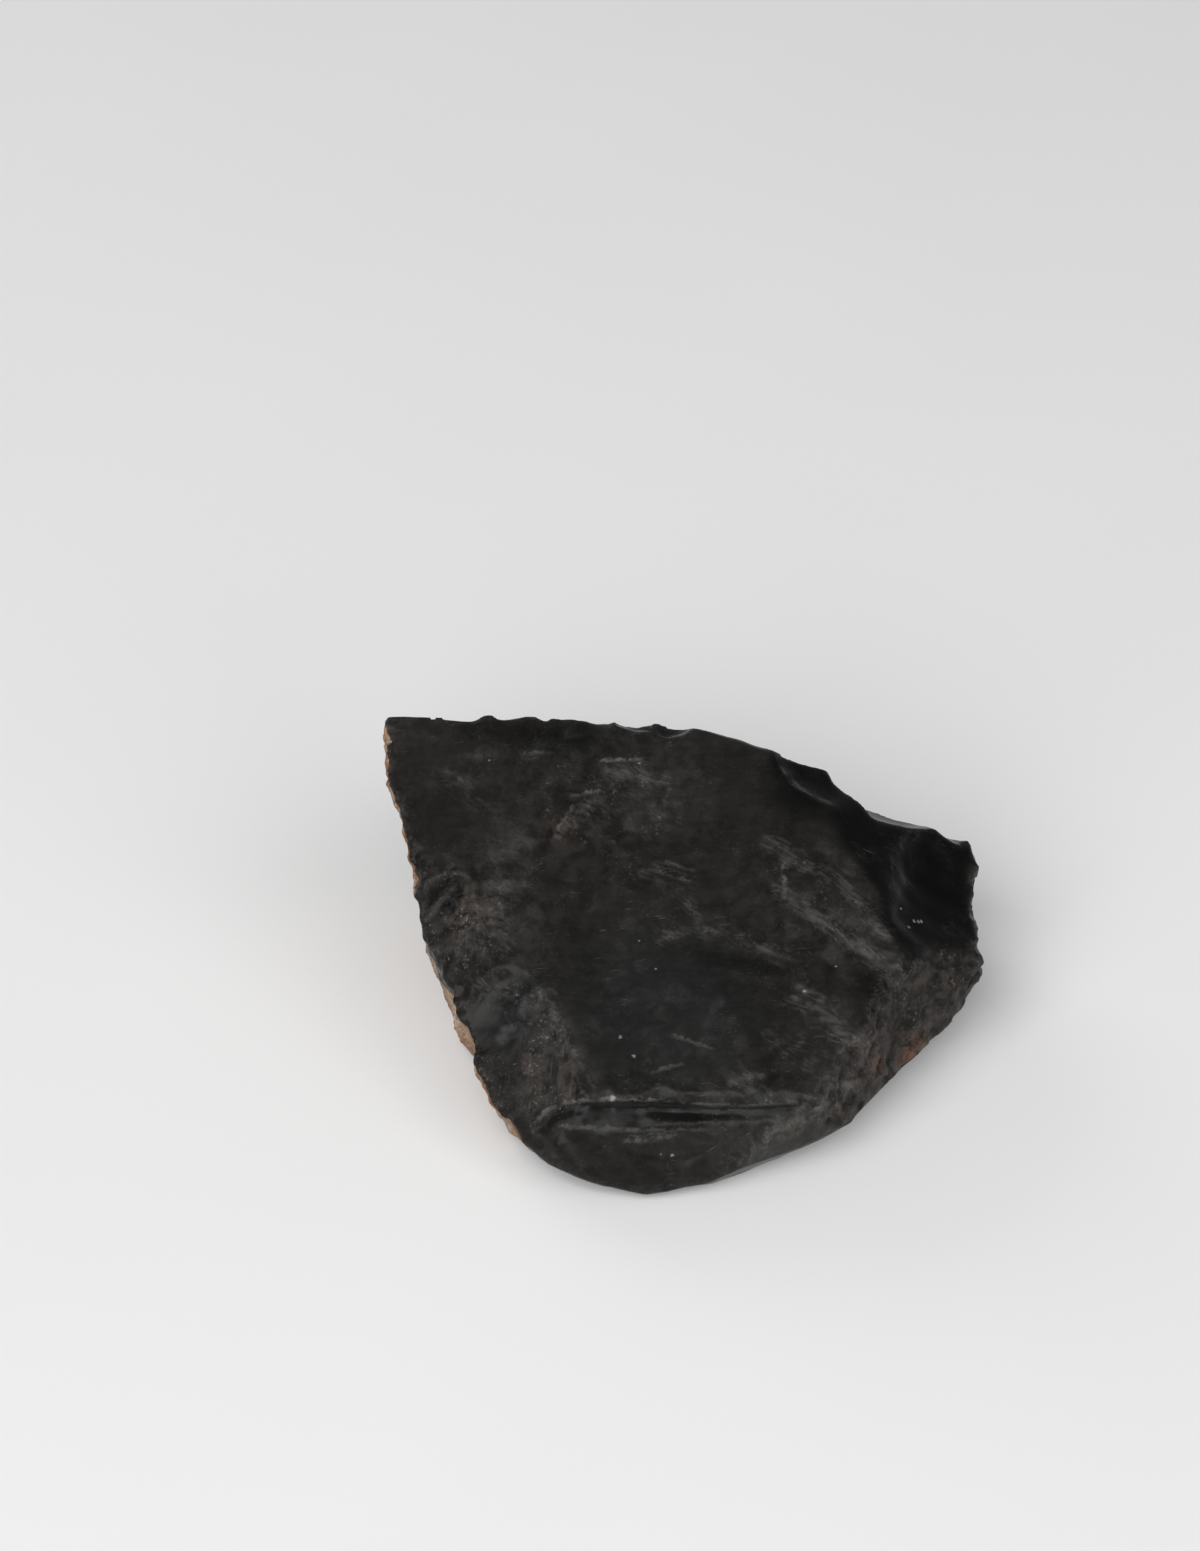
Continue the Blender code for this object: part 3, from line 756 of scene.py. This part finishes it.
def onyx_finish():
    """Black onyx: glassy black on a clean break, hazy where it is scuffed, brown where it weathers."""
    finish = Finish("black_onyx")
    black = finish.kept("black")
    clear = 1 - black
    scuffed = finish.kept("scuffed")
    bevel = finish.kept("bevel")
    fan = finish.kept("fan")
    back = finish.kept("back").most(finish.kept("rear")) * clear
    rough = finish.kept("flank").most(bevel * 0.8).most(fan * 0.6).most(back * 0.45)
    broad = finish.cloud(11.0, 3.0, 0.55, 0.6)
    patches = finish.cloud(4.0, 3.0, 0.6, 0.4).rise(0.42, 0.64)
    mottle = finish.cloud(1.9, 5.0, 0.65, 0.3).rise(0.32, 0.70)
    grit = finish.cloud(0.42, 2.0, 0.6)
    layers = finish.streaks(7.0, 0.6, 0.04, 0.6)

    # The body of the stone, a blend of black and grey that is paler and livelier where it is rough.
    lively = 0.42 + rough * 1.0 + finish.kept("lively") * 0.6
    flecked = (mottle - 0.5) * 0.75 + (grit - 0.5) * 0.4
    tone = 0.75 + (broad - 0.5) * 1.0 + (layers - 0.5) * 0.35 + flecked * lively
    # The painted shade in the creases and under the ledge lip darkens the tone here.
    tone = finish.kept("pale") * tone * (0.15 + clear * 0.85) * (1 - finish.kept("shade") * 0.8)
    grey = finish.mix(finish.kept("cool"), colour("warm grey"), colour("cool grey"))
    body = finish.mix(tone, colour("glass"), grey)
    brown = finish.kept("brown").most(rough * 0.3).most(fan * 0.3) * (0.25 + mottle * 0.75)
    body = finish.mix(brown * tone, body, colour("brown"))

    # Hazes, veils and scratches.
    stray = patches * broad.rise(0.46, 0.60) * (1 + back * 2)
    haze = (scuffed + stray * 0.20 + rough * 0.25) * clear
    wisps = finish.streaks(3.6, 1.0, -0.50, 2.2).rise(0.34, 0.70)
    ragged = (scuffed * 1.1 + wisps * 0.8 + mottle * 0.7 - 1.05).rise(0.0, 1.5) * scuffed.rise(0.0, 0.5)
    hazed = (ragged + stray * mottle * 0.20 + rough * mottle * 0.2) * clear
    body = finish.mix(hazed * 0.26, body, colour("haze"))
    veil = finish.kept("veil") * (0.15 + mottle * 1.0)
    bloom = finish.mix(finish.kept("cool"), colour("warm veil"), colour("cool veil"))
    body = finish.mix(veil * 0.24, body, bloom)
    dashes = finish.streaks(2.6, 0.2, 0.10).rise(0.66, 0.74) * patches * broad.rise(0.40, 0.58)
    scratches = finish.streaks(5.5, 0.30, -0.67, 1.0).rise(0.62, 0.78) * scuffed * 0.7
    steep = finish.streaks(4.0, 0.22, 1.45, 0.3).rise(0.62, 0.74) * bevel
    marks = dashes.most(scratches).most(steep)
    body = finish.mix(marks * 0.20 * clear, body, colour("scratch"))

    # Painted highlights along the lips, pale scratches, rubbed edges, painted shade in the creases, and
    # dust.
    beside = finish.kept("beside") + (mottle - 0.5) * 0.4 + (grit - 0.5) * 0.8
    # Painted highlight along the sharp lips, broken into small glints, and pale along the scratches.
    line = (beside * beside).rise(0.12, 0.0) * finish.kept("lip") * (0.05 + mottle * 0.95)
    rubbed = finish.kept("worn") * grit.rise(0.42, 0.62) * (0.3 + rough * 0.7)
    body = finish.mix(line.most(rubbed * 0.5) * 0.40, body, colour("lip"))
    # Painted shade darkens the creases.
    body = finish.mix(finish.kept("crease_shade") * 0.4, body, colour("crease_shade"))
    dusty = 0.08 + finish.kept("lively") * 0.25 + ragged * 0.8 + rough * 0.4 + bevel * 0.5
    dust = grit.rise(0.60, 0.74) * dusty * (0.1 + clear * 0.9) * patches
    specks = (dust * 0.5).most(bright_specks(finish, grit) * 0.6)
    body = finish.mix(specks, body, colour("dust"))

    # The weathered rind.
    rind = finish.kept("rind")
    weather = finish.cloud(7.0, 4.0, 0.6, 0.4)
    crusted = (rind + weather * 1.7 + mottle * 0.4 - 1.40).rise(0.0, 0.45) * rind.rise(0.0, 0.3) * clear
    crust = finish.mix(weather.rise(0.42, 0.62), colour("rind"), colour("rusty rind"))
    crust = finish.mix(mottle.rise(0.5, 1.0) * 0.6, crust, colour("pale rind"))
    crust = finish.mix(grit.rise(0.46, 0.34) * 0.7, crust, colour("pits"))
    crust = finish.mix(crusted.rise(0.9, 0.3), crust, colour("thin rind"))
    body = finish.mix(finish.kept("rust") * mottle * 0.4, body, colour("rust"))
    body = finish.mix(crusted, body, crust)

    # How the surface shines.
    finish.give("Base Color", body)
    dulled = 0.22 + rough * 0.25 + haze * 0.20 + crusted * 0.3 + mottle * 0.06 + finish.kept("worn") * 0.2
    finish.give("Roughness", dulled + finish.kept("back") * 0.12 - black * 0.04)
    finish.give("Specular IOR Level", 0.13)
    coarse = 0.06 + hazed * 0.15 + rough * 0.7 + crusted * 0.6
    grain = finish.cloud(0.7, 4.0, 0.6) * coarse + mottle * (0.05 + rough * 0.10) - marks * 0.15
    finish.give("Normal", finish.bump(grain, 0.12))
    return finish.material


def dress_stone():
    stone = remeshed_stone()
    break_skin(stone)
    mesh = stone.data
    write_places(mesh, read_rows(mesh, "co") * MM)
    mesh.shade_smooth()
    mesh.materials.append(onyx_finish())
    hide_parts(STONE)
    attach(stone, "root")


def floor_finish():
    finish = Finish("pale_floor")
    tone = finish.cloud(60.0, 2.0)
    finish.give("Base Color", finish.mix(tone, colour("grey floor"), colour("white floor")))
    finish.give("Roughness", 0.8)
    finish.give("Specular IOR Level", 0.2)
    return finish.material


def lay_floor():
    bm = bmesh.new()
    bmesh.ops.create_grid(bm, x_segments=1, y_segments=1, size=FLOOR_REACH)
    mesh = bpy.data.meshes.new("floor")
    bm.to_mesh(mesh)
    bm.free()
    floor = add_object("floor", mesh)
    mesh.materials.append(floor_finish())


def aim(obj, place, target):
    obj.location = place
    obj.rotation_euler = (Vector(target) - Vector(place)).to_track_quat("-Z", "Y").to_euler()


def hang_softbox(name, place, size, power):
    light = bpy.data.lights.new(name, "AREA")
    light.shape = "SQUARE"
    light.size = size
    light.energy = power
    lamp = bpy.data.objects.new(name, light)
    bpy.context.scene.collection.objects.link(lamp)
    aim(lamp, place, (0.0, 0.0, 0.01))


def light_studio():
    world = bpy.data.worlds.new("studio")
    world.use_nodes = True
    background = world.node_tree.nodes["Background"]
    background.inputs["Color"].default_value = (1.0, 1.0, 1.0, 1.0)
    background.inputs["Strength"].default_value = SKY_STRENGTH
    bpy.context.scene.world = world
    for name, (place, size, power) in SOFTBOXES.items():
        hang_softbox(name, place, size, power)
    bpy.context.scene.view_settings.view_transform = "Standard"


def set_camera():
    target = Vector(CAMERA_AIM) * MM
    back = Vector((0.0, -math.cos(CAMERA_ELEVATION), math.sin(CAMERA_ELEVATION)))
    lens = bpy.data.cameras.new("camera")
    lens.sensor_fit = "VERTICAL"
    lens.sensor_height = SENSOR
    lens.lens = PIXELS_PER_MM * CAMERA_DISTANCE * SENSOR / IMAGE_HEIGHT_PX
    camera = bpy.data.objects.new("camera", lens)
    bpy.context.scene.collection.objects.link(camera)
    aim(camera, target + back * CAMERA_DISTANCE * MM, target)
    bpy.context.scene.camera = camera


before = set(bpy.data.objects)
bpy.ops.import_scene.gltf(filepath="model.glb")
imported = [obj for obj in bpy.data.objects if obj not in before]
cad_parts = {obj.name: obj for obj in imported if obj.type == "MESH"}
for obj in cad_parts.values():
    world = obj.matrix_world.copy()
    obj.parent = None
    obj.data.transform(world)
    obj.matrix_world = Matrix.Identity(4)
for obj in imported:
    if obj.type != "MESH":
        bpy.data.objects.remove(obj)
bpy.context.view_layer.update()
set_camera()
light_studio()
lay_floor()
dress_stone()
